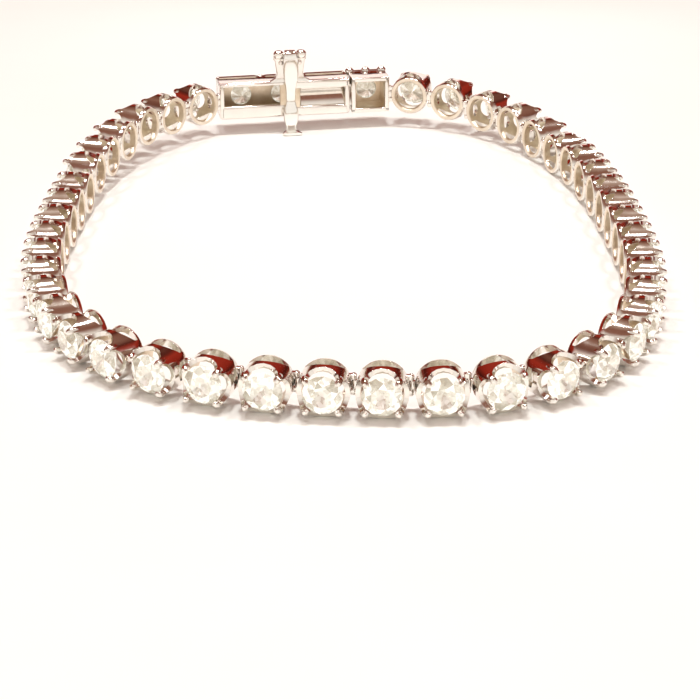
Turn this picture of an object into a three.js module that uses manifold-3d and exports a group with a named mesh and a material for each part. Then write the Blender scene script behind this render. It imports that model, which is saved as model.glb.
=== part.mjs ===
// Tennis bracelet: round prong-set links, a box clasp with a hinged safety latch, lying on its edge.
// Millimetres, +Z up. The floor is z = 0, the clasp is at the +Y side and the stones face outwards.
import * as THREE from 'three';
import { mergeVertices } from 'three/addons/utils/BufferGeometryUtils.js';
import Module from 'manifold-3d';

const wasm = await Module();
wasm.setup();

// The chain. Every link is built around its hinge line: X runs along the chain, Y points out of the
// loop towards the stone, and Z is up. Y = 0 is the line through the hinges.
const LINK_COUNT = 42;
const PITCH = 3.8;
const LINK_RADIUS = 1.8;
const LINK_SIDES = 12;
const PRONG_COUNT = 4;

const WRIST_SIDE = -0.25;
const BASE_RING = { radius: 1.65, hole: 1.15, front: 0.25, grip: 1.2 };
const CUP = { scallop: 1.8, prongTip: 2.72 };
const STONE = { culet: 0.65, seat: 1.4, girdleRadius: 1.46, girdle: 1.93, tableRadius: 0.82, table: 2.6 };

// Hinges between links: a tab on one side stands between two ears on the other. The clasp's end walls
// are notched, so that the neighbour's hinge can swing.
const HINGE = { reach: 0.14, depth: 0.44, tabHeight: 0.66, earHeight: 0.4, gap: 0.1 };
const NOTCH = { depth: 0.25, out: 0.4, height: 1.9 };

// The clasp is a straight box with a tongue link beside it.
const BOX = { length: 12.2, height: 3.3, front: 2.7, endGap: 0.15, seamGap: 0.1, rail: 0.42 };
const TONGUE_CAVITY = { start: 1.0, back: -0.02, front: 0.55 };
const TONGUE = { start: 1.3, back: 0.11, front: 0.42, height: 1.9 };
const STONE_WINDOW = { start: -5.3, end: -0.2, front: 0.6 };
const TONGUE_WINDOW = { start: 1.25, end: 5.3, height: 2.1 };
const BOX_STONES = { count: 3, radius: 1.3, tableRadius: 0.72, base: 2.6, table: 2.82, sides: 8 };

// The safety latch hangs from a three-knuckle hinge over the box and lies along its wrist side.
const LATCH = { along: 0.5, width: 1.35, neckWidth: 1.0, back: -0.35, front: -0.95, footWidth: 1.7 };
const LATCH_NECK = { drop: 0.65, bevel: 0.2 };
const KNUCKLE = { radius: 0.42, bore: 0.22, outerLength: 0.95, gap: 0.05, rise: 2.55, out: -0.15, sides: 12 };
const PIN = { radius: 0.16, sides: 8 };
const BRACKET = { back: -0.2, front: 0.25, footFlare: 0.35 };
const HOOK = { reach: 0.15, top: 0.15, thickness: 0.3 };
const LIP = { reach: 0.65, thickness: 0.26 };

// The outline of the loop through the hinges, and the rise of the clasp that stands on its latch.
const OUTLINE = { aspect: 1.48, fullness: 2.65, egg: 0.087, lean: -0.0655, skew: 0.055 };
const CLASP_SHIFT = -3.45;
const CLASP_LIFT = 1.3;
const LIFT_RUN = 30;

// The straight clasp spans an arc of the outline that is a little longer than the clasp itself.
const CLASP_LENGTH = BOX.length + PITCH;
const CLASP_ARC = CLASP_LENGTH + 0.22;
const CHAIN_LENGTH = CLASP_ARC + LINK_COUNT * PITCH;
const KNUCKLE_AXIS = BOX.height / 2 + KNUCKLE.rise;
const FLOOR = -(LINK_RADIUS + CLASP_LIFT);

const whiteGold = new THREE.MeshStandardMaterial({ color: 0xe9e4dc, roughness: 0.15, metalness: 1 });
const latchGold = new THREE.MeshStandardMaterial({ color: 0xf0ece6, roughness: 0.12, metalness: 1 });

// Turns a closed geometry into a solid: shared corners are merged, and flat slivers at poles dropped.
function solidOf(geometry) {
  const bare = geometry.clone();
  bare.deleteAttribute('normal');
  bare.deleteAttribute('uv');
  const merged = mergeVertices(bare, 1e-5);
  const corners = merged.index.array;
  const triangles = [];
  for (let i = 0; i < corners.length; i += 3) {
    const [a, b, c] = corners.slice(i, i + 3);
    if (a !== b && b !== c && c !== a) triangles.push(a, b, c);
  }
  return new wasm.Manifold(new wasm.Mesh({
    numProp: 3,
    vertProperties: Float32Array.from(merged.attributes.position.array),
    triVerts: Uint32Array.from(triangles),
  }));
}

function meshOf(solid, name, material) {
  const { vertProperties, triVerts } = solid.getMesh();
  const geometry = new THREE.BufferGeometry();
  geometry.setAttribute('position', new THREE.BufferAttribute(vertProperties, 3));
  geometry.setIndex(new THREE.BufferAttribute(triVerts, 1));
  geometry.computeVertexNormals();
  const mesh = new THREE.Mesh(geometry, material);
  mesh.name = name;
  return mesh;
}

// A block between two corners.
function block([x0, y0, z0], [x1, y1, z1]) {
  const geometry = new THREE.BoxGeometry(x1 - x0, y1 - y0, z1 - z0);
  geometry.translate((x0 + x1) / 2, (y0 + y1) / 2, (z0 + z1) / 2);
  return solidOf(geometry);
}

// A round bar along X about the knuckle axis.
function barOnAxis(radius, sides, start, end) {
  const geometry = new THREE.CylinderGeometry(radius, radius, end - start, sides);
  geometry.rotateZ(Math.PI / 2);
  geometry.translate((start + end) / 2, KNUCKLE.out, KNUCKLE_AXIS);
  return solidOf(geometry);
}

// A flat outline of [across, up] points pushed to a thickness, standing up and facing along Y.
function standingPlate(points, thickness) {
  const shape = new THREE.Shape(points.map(([across, up]) => new THREE.Vector2(across, up)));
  const geometry = new THREE.ExtrudeGeometry(shape, { depth: thickness, bevelEnabled: false });
  return geometry.rotateX(Math.PI / 2);
}

// A plate outlined by [along, up] points, from one depth to another.
function plateFacingOut(points, back, front) {
  return solidOf(standingPlate(points, front - back).translate(0, front, 0));
}

// A plate outlined by [out, up] points, from one place along the chain to another.
function plateAcrossChain(points, start, end) {
  return solidOf(standingPlate(points, end - start).rotateZ(Math.PI / 2).translate(start, 0, 0));
}

function unite(solids) {
  return solids.reduce((whole, solid) => whole.add(solid));
}

// Radii are measured to the flats, so that the flat under each link lies level on the floor.
function onFlats(radius, sides) {
  return radius / Math.cos(Math.PI / sides);
}

// One setting with its stone: base ring, flared cup cut by scallops between the prongs, and the stone.
function settingWithStone() {
  const profile = [
    [0, STONE.table],
    [STONE.tableRadius, STONE.table],
    [STONE.girdleRadius, STONE.girdle],
    [LINK_RADIUS, CUP.scallop],
    [BASE_RING.radius, BASE_RING.front],
    [BASE_RING.radius, WRIST_SIDE],
    [BASE_RING.hole, WRIST_SIDE],
    [BASE_RING.hole, STONE.seat],
    [0, STONE.culet],
  ];
  const rimRow = 3;
  const points = profile.map(([radius, out]) => new THREE.Vector2(onFlats(radius, LINK_SIDES), out));
  const halfSide = Math.PI / LINK_SIDES;
  const geometry = new THREE.LatheGeometry(points.reverse(), LINK_SIDES, halfSide);
  const position = geometry.attributes.position;
  for (let i = points.length - 1 - rimRow; i < position.count; i += points.length) {
    const turn = Math.atan2(position.getX(i), position.getZ(i));
    const isProng = Math.abs(Math.sin(turn * PRONG_COUNT / 2)) > 0.9;
    if (isProng) position.setY(i, CUP.prongTip);
  }
  return solidOf(geometry);
}

// The tab on a link's leading side, from the body at bodyEnd to just past the hinge point.
function hingeTab(bodyEnd, hingePoint) {
  const half = { depth: HINGE.depth / 2, height: HINGE.tabHeight / 2 };
  return block([bodyEnd, -half.depth, -half.height], [hingePoint + HINGE.reach, half.depth, half.height]);
}

// The two ears on a link's trailing side, above and below the neighbour's tab.
function hingeEars(bodyEnd, hingePoint) {
  const inner = HINGE.tabHeight / 2 + HINGE.gap;
  const outer = inner + HINGE.earHeight;
  const half = HINGE.depth / 2;
  return [[inner, outer], [-outer, -inner]].map(([low, high]) => block(
    [hingePoint - HINGE.reach, -half, low],
    [bodyEnd, half, high],
  ));
}

function roundLink() {
  return unite([
    settingWithStone(),
    hingeTab(BASE_RING.grip, PITCH / 2),
    ...hingeEars(-BASE_RING.grip, -PITCH / 2),
  ]);
}

// The low crown of a stone that is sunk in the front of the clasp.
function sunkStone(along) {
  const profile = [
    [0, BOX_STONES.base],
    [BOX_STONES.radius, BOX_STONES.base],
    [BOX_STONES.radius, BOX.front],
    [BOX_STONES.tableRadius, BOX_STONES.table],
    [0, BOX_STONES.table],
  ];
  const geometry = new THREE.LatheGeometry(
    profile.map(([radius, out]) => new THREE.Vector2(radius, out)), BOX_STONES.sides);
  geometry.translate(along, 0, 0);
  return solidOf(geometry);
}

// A recess in an end wall, open to the wrist side. It runs from the wall's face in the given direction.
function hingeNotch(face, direction) {
  const [start, end] = [face - direction * NOTCH.out, face + direction * NOTCH.depth].sort((a, b) => a - b);
  return block([start, WRIST_SIDE - 1, -NOTCH.height / 2], [end, NOTCH.out, NOTCH.height / 2]);
}

function boxShell() {
  const half = { length: BOX.length / 2, height: BOX.height / 2 };
  const inside = half.height - BOX.rail;
  const shell = block(
    [-half.length + BOX.endGap, WRIST_SIDE, -half.height],
    [half.length - BOX.seamGap, BOX.front, half.height],
  );
  const tongueCavity = block(
    [TONGUE_CAVITY.start, TONGUE_CAVITY.back, -inside],
    [half.length, TONGUE_CAVITY.front, inside],
  );
  const tongueWindow = block(
    [TONGUE_WINDOW.start, WRIST_SIDE - 1, -TONGUE_WINDOW.height / 2],
    [TONGUE_WINDOW.end, TONGUE_CAVITY.front, TONGUE_WINDOW.height / 2],
  );
  const stoneWindow = block(
    [STONE_WINDOW.start, WRIST_SIDE - 1, -inside],
    [STONE_WINDOW.end, STONE_WINDOW.front, inside],
  );
  const notch = hingeNotch(-half.length + BOX.endGap, 1);
  return shell.subtract(unite([tongueCavity, tongueWindow, stoneWindow, notch]));
}

function boxStones() {
  const stones = [];
  for (let i = 0; i < BOX_STONES.count; i += 1) {
    const along = (i - (BOX_STONES.count - 1) / 2) * PITCH;
    stones.push(sunkStone(along));
  }
  return stones;
}

// Half the length of the whole hinge barrel, and of its middle knuckle.
function barrelHalves() {
  const middle = LATCH.neckWidth / 2;
  return { middle, whole: middle + KNUCKLE.gap + KNUCKLE.outerLength };
}

// The bracket flares at its foot on the top rail, and a notch in its head clears the middle knuckle.
function bracketPlate() {
  const { middle, whole } = barrelHalves();
  const top = BOX.height / 2;
  const foot = whole + BRACKET.footFlare;
  const neck = whole - BRACKET.footFlare;
  const notchHalf = middle + KNUCKLE.gap;
  const notchFloor = KNUCKLE_AXIS - KNUCKLE.radius - HINGE.gap;
  const leftToRight = [
    [-foot, top - BOX.rail / 2],
    [foot, top - BOX.rail / 2],
    [foot, top],
    [neck, top + KNUCKLE.rise / 3],
    [whole, KNUCKLE_AXIS - KNUCKLE.radius / 2],
    [whole, KNUCKLE_AXIS],
    [notchHalf, KNUCKLE_AXIS],
    [notchHalf, notchFloor],
    [-notchHalf, notchFloor],
    [-notchHalf, KNUCKLE_AXIS],
    [-whole, KNUCKLE_AXIS],
    [-whole, KNUCKLE_AXIS - KNUCKLE.radius / 2],
    [-neck, top + KNUCKLE.rise / 3],
    [-foot, top],
  ];
  const placed = leftToRight.map(([along, up]) => [LATCH.along + along, up]);
  return plateFacingOut(placed, BRACKET.back, BRACKET.front);
}

function outerKnuckles() {
  const { middle, whole } = barrelHalves();
  const inner = middle + KNUCKLE.gap;
  return [[-whole, -inner], [inner, whole]].map(([start, end]) => barOnAxis(
    KNUCKLE.radius, KNUCKLE.sides, LATCH.along + start, LATCH.along + end));
}

function hingeBore() {
  const { whole } = barrelHalves();
  return barOnAxis(KNUCKLE.bore, PIN.sides, LATCH.along - whole - 1, LATCH.along + whole + 1);
}

function claspBox() {
  const bodyEnd = -BOX.length / 2 + BOX.endGap + BOX.rail;
  const whole = unite([
    boxShell(),
    ...boxStones(),
    bracketPlate(),
    ...outerKnuckles(),
    ...hingeEars(bodyEnd, -BOX.length / 2),
  ]);
  return whole.subtract(hingeBore());
}

// The square end link with its stone, and the tongue that stands in the box.
function tongueLink() {
  const start = BOX.length / 2 + BOX.seamGap;
  const end = BOX.length / 2 + PITCH - BOX.endGap;
  const halfHeight = BOX.height / 2;
  const body = block([start, WRIST_SIDE, -halfHeight], [end, BOX.front, halfHeight]);
  const backRecess = block(
    [start + BOX.rail, WRIST_SIDE - 1, -halfHeight + BOX.rail],
    [end - BOX.rail, STONE_WINDOW.front, halfHeight - BOX.rail],
  );
  const tongue = block(
    [TONGUE.start, TONGUE.back, -TONGUE.height / 2],
    [start + BOX.rail / 2, TONGUE.front, TONGUE.height / 2],
  );
  return unite([
    body.subtract(backRecess).subtract(hingeNotch(end, -1)),
    tongue,
    sunkStone((start + end) / 2),
    hingeTab(end - BOX.rail, BOX.length / 2 + PITCH),
  ]);
}

// The strap with its hook under the box, its foot on the floor, and the thumb lip on the wrist side.
function safetyLatch() {
  const boxBottom = -BOX.height / 2;
  const hookTop = boxBottom - HOOK.top;
  const hookBottom = hookTop - HOOK.thickness;
  const neckBottom = KNUCKLE_AXIS - LATCH_NECK.drop;
  const strapSide = [
    [LATCH.back, neckBottom],
    [LATCH.front, neckBottom],
    [LATCH.front, hookBottom],
    [LATCH.front, FLOOR + LIP.thickness],
    [LATCH.back, FLOOR + LIP.thickness],
    [LATCH.back, hookBottom],
    [HOOK.reach, hookBottom],
    [HOOK.reach, hookTop],
    [LATCH.back, hookTop],
  ];
  const neckSide = [
    [LATCH.back, neckBottom - BOX.rail],
    [LATCH.back, KNUCKLE_AXIS - KNUCKLE.radius / 2],
    [KNUCKLE.out, KNUCKLE_AXIS],
    [LATCH.front + LATCH_NECK.bevel, KNUCKLE_AXIS],
    [LATCH.front, KNUCKLE_AXIS - KNUCKLE.radius],
    [LATCH.front, neckBottom - BOX.rail],
  ];
  const halfWidth = LATCH.width / 2;
  const halfNeck = LATCH.neckWidth / 2;
  const halfFoot = LATCH.footWidth / 2;
  const whole = unite([
    plateAcrossChain(strapSide, LATCH.along - halfWidth, LATCH.along + halfWidth),
    plateAcrossChain(neckSide, LATCH.along - halfNeck, LATCH.along + halfNeck),
    barOnAxis(KNUCKLE.radius, KNUCKLE.sides, LATCH.along - halfNeck, LATCH.along + halfNeck),
    block(
      [LATCH.along - halfFoot, LATCH.front - LIP.reach, FLOOR],
      [LATCH.along + halfFoot, LATCH.back, FLOOR + LIP.thickness],
    ),
  ]);
  return whole.subtract(hingeBore());
}

function hingePin() {
  const { whole } = barrelHalves();
  return barOnAxis(PIN.radius, PIN.sides, LATCH.along - whole, LATCH.along + whole);
}

// The loop through the hinges, seen from above: a full oval, wider at the front, leaning and skewed a
// little, as a chain comes to lie.
// It starts at the middle of the back and runs towards +X.
class LoopOutline extends THREE.Curve {
  getPoint(t, target = new THREE.Vector3()) {
    const angle = 2 * Math.PI * t;
    const power = 2 / OUTLINE.fullness;
    const across = Math.sign(Math.sin(angle)) * Math.abs(Math.sin(angle)) ** power;
    const away = Math.sign(Math.cos(angle)) * Math.abs(Math.cos(angle)) ** power;
    const x = across * (1 - OUTLINE.egg * away) + OUTLINE.lean * away;
    return target.set(x, away * (OUTLINE.aspect + OUTLINE.skew * across), 0);
  }
}

const outline = new LoopOutline();
outline.arcLengthDivisions = 4000;
const outlineScale = CHAIN_LENGTH / outline.getLength();

// How far the chain is raised: fully along the clasp, then easing down to the floor on both sides.
function liftAt(distance) {
  const away = Math.min(Math.abs(distance), CHAIN_LENGTH - Math.abs(distance));
  const eased = THREE.MathUtils.clamp((away - CLASP_ARC / 2) / LIFT_RUN, 0, 1);
  return CLASP_LIFT * (1 + Math.cos(Math.PI * eased)) / 2;
}

// A point of the hinge line, by its distance along the chain from the middle of the clasp.
function hingePoint(distance) {
  const turns = THREE.MathUtils.euclideanModulo((distance + CLASP_SHIFT) / CHAIN_LENGTH, 1);
  const point = outline.getPointAt(turns).multiplyScalar(outlineScale);
  point.z = LINK_RADIUS + liftAt(distance);
  return point;
}

// Stands an object between two distances along the chain, with its X axis along the chord.
function placeOnChain(object, from, to, originShare) {
  const start = hingePoint(from);
  const end = hingePoint(to);
  const along = end.clone().sub(start).normalize();
  const out = new THREE.Vector3(0, 0, 1).cross(along).normalize();
  const up = along.clone().cross(out);
  object.setRotationFromMatrix(new THREE.Matrix4().makeBasis(along, out, up));
  object.position.copy(start.lerp(end, originShare));
  return object;
}

function makeClasp() {
  const clasp = new THREE.Group();
  clasp.add(
    meshOf(claspBox(), 'clasp_box', whiteGold),
    meshOf(tongueLink(), 'tongue_link', whiteGold),
    meshOf(hingePin(), 'hinge_pin', latchGold),
    meshOf(safetyLatch(), 'safety_latch', latchGold),
  );
  return placeOnChain(clasp, -CLASP_ARC / 2, CLASP_ARC / 2, BOX.length / 2 / CLASP_LENGTH);
}

function makeLinks() {
  const solid = roundLink();
  const links = new THREE.Group();
  for (let i = 0; i < LINK_COUNT; i += 1) {
    const link = meshOf(solid, `link_${String(i + 1).padStart(2, '0')}`, whiteGold);
    const from = CLASP_ARC / 2 + i * PITCH;
    links.add(placeOnChain(link, from, from + PITCH, 0.5));
  }
  return links;
}

const bracelet = new THREE.Group();
bracelet.add(makeClasp(), makeLinks());
const bounds = new THREE.Box3().setFromObject(bracelet, true);
const middle = bounds.getCenter(new THREE.Vector3());
bracelet.position.set(-middle.x, -middle.y, -bounds.min.z);

export default bracelet;
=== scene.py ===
# %% [markdown]
# # Tennis bracelet
# Forty-two round prong settings, each with a small brilliant, are hinged into a flexible line. A box
# clasp with a tongue link closes it, and a hinged safety latch lies over the seam. The bracelet lies
# on its edge as an open loop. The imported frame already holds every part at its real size, so all
# places below are read from it, and this script only makes the fine surfaces, finishes and light.

# %% Load the frame
import math
import random

import bmesh
import bpy
from mathutils import Euler, Matrix, Vector


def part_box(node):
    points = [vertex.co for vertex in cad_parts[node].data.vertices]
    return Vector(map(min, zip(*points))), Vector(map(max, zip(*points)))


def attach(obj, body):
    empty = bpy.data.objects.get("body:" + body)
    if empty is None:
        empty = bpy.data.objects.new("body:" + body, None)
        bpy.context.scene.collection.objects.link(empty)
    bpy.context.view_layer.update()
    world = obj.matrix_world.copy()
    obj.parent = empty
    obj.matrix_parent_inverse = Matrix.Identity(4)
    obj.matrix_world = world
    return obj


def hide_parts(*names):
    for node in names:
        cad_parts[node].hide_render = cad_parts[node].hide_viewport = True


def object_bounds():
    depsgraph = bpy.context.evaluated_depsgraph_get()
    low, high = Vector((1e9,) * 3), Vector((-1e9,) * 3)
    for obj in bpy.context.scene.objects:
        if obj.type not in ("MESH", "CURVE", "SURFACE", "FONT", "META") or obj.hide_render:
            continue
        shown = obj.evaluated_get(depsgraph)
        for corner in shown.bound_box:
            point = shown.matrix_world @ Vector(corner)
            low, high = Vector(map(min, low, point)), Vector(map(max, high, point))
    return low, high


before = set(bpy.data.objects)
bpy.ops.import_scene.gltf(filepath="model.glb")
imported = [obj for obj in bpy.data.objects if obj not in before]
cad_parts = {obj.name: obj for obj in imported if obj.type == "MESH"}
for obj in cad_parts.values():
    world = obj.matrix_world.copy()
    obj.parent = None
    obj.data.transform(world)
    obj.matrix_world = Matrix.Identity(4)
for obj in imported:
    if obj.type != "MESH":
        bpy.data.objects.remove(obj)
cad_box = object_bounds()
MM = 0.001
UP = Vector((0, 0, 1))
LINK_NODES = sorted(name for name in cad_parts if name.startswith("link_"))
print("nodes in the frame:", len(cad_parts), "of them links:", len(LINK_NODES))

# %% [markdown]
# ## Where each link sits
# Every part is drawn in the same small coordinates: along the chain, out towards the stone, and up,
# in millimetres, with zero on the hinge line. A link's place could be typed in, but the frame knows
# it better: the widest flat of a link is its wrist side, which tells where "out" is, and the tips of
# its hinge tab and ears both lie on the hinge line, which gives the "along" direction and the middle.

# %% Read a place from a link
WRIST_PLANE = -0.25
TIP_TOLERANCE = 0.06 * MM


def widest_flat_normal(obj):
    areas = {}
    for polygon in obj.data.polygons:
        key = tuple(round(value, 3) for value in polygon.normal)
        areas[key] = areas.get(key, 0) + polygon.area
    return Vector(max(areas, key=areas.get)).normalized()


def tip_middle(obj, direction):
    """The middle of the vertices that reach furthest in a direction."""
    reach = max(vertex.co.dot(direction) for vertex in obj.data.vertices)
    tips = [v.co for v in obj.data.vertices if v.co.dot(direction) > reach - TIP_TOLERANCE]
    low = Vector(min(tip[axis] for tip in tips) for axis in range(3))
    high = Vector(max(tip[axis] for tip in tips) for axis in range(3))
    return (low + high) / 2


def place_between(start, end, share):
    """A placing matrix whose X runs from start to end, with its origin at a share of the way."""
    along = (end - start).normalized()
    out = UP.cross(along).normalized()
    turn = Matrix((along, out, along.cross(out))).transposed().to_4x4()
    return Matrix.Translation(start.lerp(end, share)) @ turn


def link_place(name):
    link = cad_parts[name]
    along = (-widest_flat_normal(link)).cross(UP).normalized()
    return place_between(tip_middle(link, -along), tip_middle(link, along), 0.5)


link_places = [link_place(name) for name in LINK_NODES]
pitch = (link_places[1].translation - link_places[0].translation).length / MM
print("links placed, pitch in mm:", round(pitch, 3))

# %% Read the place of the clasp
HINGE_REACH = 0.14


def clasp_place():
    """The clasp's own coordinates have their zero at the middle of the box."""
    box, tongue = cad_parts["clasp_box"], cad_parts["tongue_link"]
    low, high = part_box("clasp_box")
    far_low, far_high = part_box("tongue_link")
    guess = (far_low + far_high) / 2 - (low + high) / 2
    guess.z = 0
    guess.normalize()
    start, end = tip_middle(box, -guess), tip_middle(tongue, guess)
    length = (end - start).length / MM
    half_box = (length - pitch) / 2
    return place_between(start, end, half_box / length), half_box - HINGE_REACH


clasp, BOX_HALF = clasp_place()
print("half the box in mm:", round(BOX_HALF, 3))

# %% [markdown]
# ## A small kit for metalwork
# Goldsmiths build with few forms: bars, plates, tubes and beads. All of them can be drawn as a loft,
# a stack of closed rings joined by strips of faces, so one loft function makes nearly everything.
# A Shape collects such closed forms until they become one mesh. Normals are worked out at the end,
# form by form, which is safe because each form is closed. Each face also remembers whether it lies
# inside, where the polishing wheel doesn't reach, so that the finish can be rougher there; the same
# mark also paints the metal darker there, a painted shade for the hollows.

# %% Shapes from lofted rings
SMOOTH_ANGLE = math.radians(50)


class Shape:
    def __init__(self):
        self.points = []
        self.faces = []
        self.insides = []

    def add(self, points, faces, insides=None):
        """insides tells how far each face is from the reach of the polishing wheel, from 0 to 1, and how
        much painted shade it gets.
        """
        start = len(self.points)
        self.points += [Vector(point) for point in points]
        self.faces += [[start + corner for corner in face] for face in faces]
        self.insides += insides or [0.0] * len(faces)
        return self

    def loft(self, rings, wrapped=False):
        """Joins rings of equal length. The ends are capped, or the last ring meets the first."""
        count = len(rings[0])
        faces = []
        for row in range(len(rings) if wrapped else len(rings) - 1):
            here, there = row * count, (row + 1) % len(rings) * count
            for i in range(count):
                j = (i + 1) % count
                faces.append([here + i, here + j, there + j, there + i])
        if not wrapped:
            last = (len(rings) - 1) * count
            faces.append(list(range(count)))
            faces.append([last + i for i in reversed(range(count))])
        return self.add([point for ring in rings for point in ring], faces)

    def to_object(self, name, place=Matrix.Identity(4), smooth=True):
        """A new object at the origin whose mesh is this shape, put where the placing matrix says."""
        mesh = bpy.data.meshes.new(name)
        mesh.from_pydata([place @ (point * MM) for point in self.points], [], self.faces)
        # The inside mark of each face also drives the painted shade of the hollows in the finish.
        marks = mesh.attributes.new("inside", "FLOAT", "FACE")
        marks.data.foreach_set("value", self.insides)
        work = bmesh.new()
        work.from_mesh(mesh)
        bmesh.ops.recalc_face_normals(work, faces=work.faces)
        work.to_mesh(mesh)
        work.free()
        if smooth:
            mesh.shade_smooth()
            mesh.set_sharp_from_angle(angle=SMOOTH_ANGLE)
        obj = bpy.data.objects.new(name, mesh)
        bpy.context.scene.collection.objects.link(obj)
        return obj


# %% [markdown]
# No edge of a worn jewel is sharp: every bar, knuckle and grain is rounded off by filing and wear. A
# Bevel modifier could round them afterwards. Here the roundness is part of the loft, because a few
# rings that step in towards each end give the same soft edge with clean faces.

# %% Bars, barrels and beads
BEVEL_STEPS = 3
CORNER_STEPS = 3
CORNER_FULLNESS = 1.2
SMALLEST_CORNER = 0.01
BAR_EDGE = 0.08
BEAD_SIDES, BEAD_ROWS = 12, 7


def rounded_rectangle(low, high, radius):
    """Points of a rectangle with round corners, counter-clockwise, from [a, b] to [a, b]."""
    points = []
    corners = [(high[0], high[1], 0), (low[0], high[1], 1), (low[0], low[1], 2), (high[0], low[1], 3)]
    for a, b, quarter in corners:
        middle_a = a - math.copysign(radius, a - (low[0] + high[0]) / 2)
        middle_b = b - math.copysign(radius, b - (low[1] + high[1]) / 2)
        for step in range(CORNER_STEPS):
            angle = math.pi / 2 * (quarter + step / (CORNER_STEPS - 1))
            points.append((middle_a + radius * math.cos(angle), middle_b + radius * math.sin(angle)))
    return points


def bevel_rows(low, high, radius):
    """Pairs of height and inset that round both ends of a form between two heights."""
    rise = [(math.sin(angle), math.cos(angle)) for angle in
            (math.pi / 2 * step / BEVEL_STEPS for step in range(BEVEL_STEPS + 1))]
    first = [(low + radius * (1 - c), radius * (1 - s)) for s, c in rise]
    return first + [(high - (height - low), inset) for height, inset in reversed(first)]


def bar(shape, low, high, radius=BAR_EDGE):
    """A block with rounded edges between two corners of [along, out, up]."""
    rings = []
    for height, inset in bevel_rows(low[2], high[2], radius):
        flat_low = (low[0] + inset, low[1] + inset)
        flat_high = (high[0] - inset, high[1] - inset)
        corner = max(radius * CORNER_FULLNESS - inset, SMALLEST_CORNER)
        outline = rounded_rectangle(flat_low, flat_high, corner)
        rings.append([(a, b, height) for a, b in outline])
    return shape.loft(rings)


def circle(radius, count):
    turns = (2 * math.pi * i / count for i in range(count))
    return [(radius * math.cos(turn), radius * math.sin(turn)) for turn in turns]


def barrel(shape, middle, radius, start, end, axis, edge, count):
    """A round bar with softened ends. axis 0 runs along the chain, axis 2 runs up."""
    rings = []
    for height, inset in bevel_rows(start, end, edge):
        ring = []
        for a, b in circle(radius - inset, count):
            if axis == 0:
                ring.append((height, middle[1] + a, middle[2] + b))
            else:
                ring.append((middle[0] + a, middle[1] + b, height))
        rings.append(ring)
    return shape.loft(rings)


def bead(shape, middle, radius, flat=1.0):
    """A ball of metal, as raised with a burin. flat squeezes it along its out direction."""
    rings = []
    for row in range(BEAD_ROWS):
        tilt = math.pi * (row + 0.5) / BEAD_ROWS
        out = middle[1] - radius * flat * math.cos(tilt)
        belt = circle(radius * math.sin(tilt), BEAD_SIDES)
        rings.append([(middle[0] + a, out, middle[2] + b) for a, b in belt])
    return shape.loft(rings)


print("faces of a rounded bar:", len(bar(Shape(), (0, 0, 0), (1, 1, 1)).faces))
print("faces of a bead:", len(bead(Shape(), (0, 0, 0), 1).faces))

# %% [markdown]
# ## One setting
# Each stone stands in a little cup that is cast, then pierced: a flat base ring next to the skin, a
# wall with a half-moon window on each side, and a rim filed into U-shaped scallops that leave four
# posts. It could be cut out of a solid cup with booleans, but those leave ragged meshes. Here the wall
# is a grid that goes around the cup: its columns crowd together where a scallop is steep, its rows
# follow the base ring, the window edges and the rim, and the windows are simply cells left out. Every
# grid point has an outer and an inner twin, and strips close the rim, the base and the windows.

# %% Outline of the rim and the windows
SCALLOP_BOTTOM, SCALLOP_TOP = 1.5, 2.36
SCALLOP_HALF = math.radians(38.5)
QUARTER = 12
SKIN_EDGE_SHARE = 0.72
# A window takes that many cells to each side of its middle, up to the angle "half", and the posts beside
# it reach to the angle "post". It starts at the level "back" and ends in an arch, from "end" to "front".
TALL_WINDOW = {"cells": 5, "half": 49, "post": 54, "back": 0.02, "front": 1.08, "end": 0.25}
HINGE_WINDOW = {"cells": 3, "half": 23, "post": 36, "back": 0.34, "front": 1.04, "end": 0.7}


def rim_point(k):
    """Angle from the middle of the side, and how far out the rim is, at column k of a side."""
    steep = QUARTER // 2 - 2
    if abs(k) <= steep:
        turn = math.pi / 2 * k / steep
        out = SCALLOP_BOTTOM + (SCALLOP_TOP - SCALLOP_BOTTOM) * (1 - math.cos(turn))
        return SCALLOP_HALF * math.sin(turn), out
    share = (abs(k) - steep) / (QUARTER / 2 - steep)
    return math.copysign(SCALLOP_HALF + (math.pi / 4 - SCALLOP_HALF) * share, k), SCALLOP_TOP


def window_angle(k, window):
    """Columns of a side, spread evenly over its window and then over its posts."""
    cells, half = window["cells"], math.radians(window["half"])
    if abs(k) <= cells:
        return half * k / cells
    share = (abs(k) - cells) / (QUARTER / 2 - cells)
    return math.copysign(half + (math.radians(window["post"]) - half) * share, k)


def window_front(k, window):
    share = min(abs(k) / window["cells"], 1)
    return window["end"] + (window["front"] - window["end"]) * math.cos(math.pi / 2 * share)


def even_angle(k):
    return math.radians(90 / QUARTER * k)


def column(k, window):
    """The angles and distances out of one column, from the base ring to the rim."""
    rim_angle, rim = rim_point(k)
    angle = window_angle(k, window)
    front = window_front(k, window)
    middle = (window["back"] + front) / 2
    return [
        (even_angle(k), WRIST_PLANE),
        (even_angle(k), WRIST_PLANE * SKIN_EDGE_SHARE),
        (angle, window["back"]),
        (angle, middle),
        (angle, front),
        ((angle + rim_angle) / 2, (front + rim) / 2),
        (rim_angle, rim),
    ]


print("levels of one column:", [round(out, 2) for _, out in column(0, TALL_WINDOW)])

# %% Thickness of the cup
BASE_RADIUS, BASE_HOLE = 1.76, 1.24
CUP_RADIUS = 1.80
WALL_THICKNESS = 0.32
RING_ROUNDING = {"start": 0.0, "width": 0.12}
FLARE_START = 0.1
SEAT_LEVEL = 1.8
SEAT_FULLNESS = 0.8


def ring_rounding(out):
    """How far the edge of the base ring is rounded off on the wrist side."""
    start, width = RING_ROUNDING["start"], RING_ROUNDING["width"]
    depth = max(0.0, min(1.0, (start - out) / (start - WRIST_PLANE)))
    return width * depth ** 2


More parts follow.
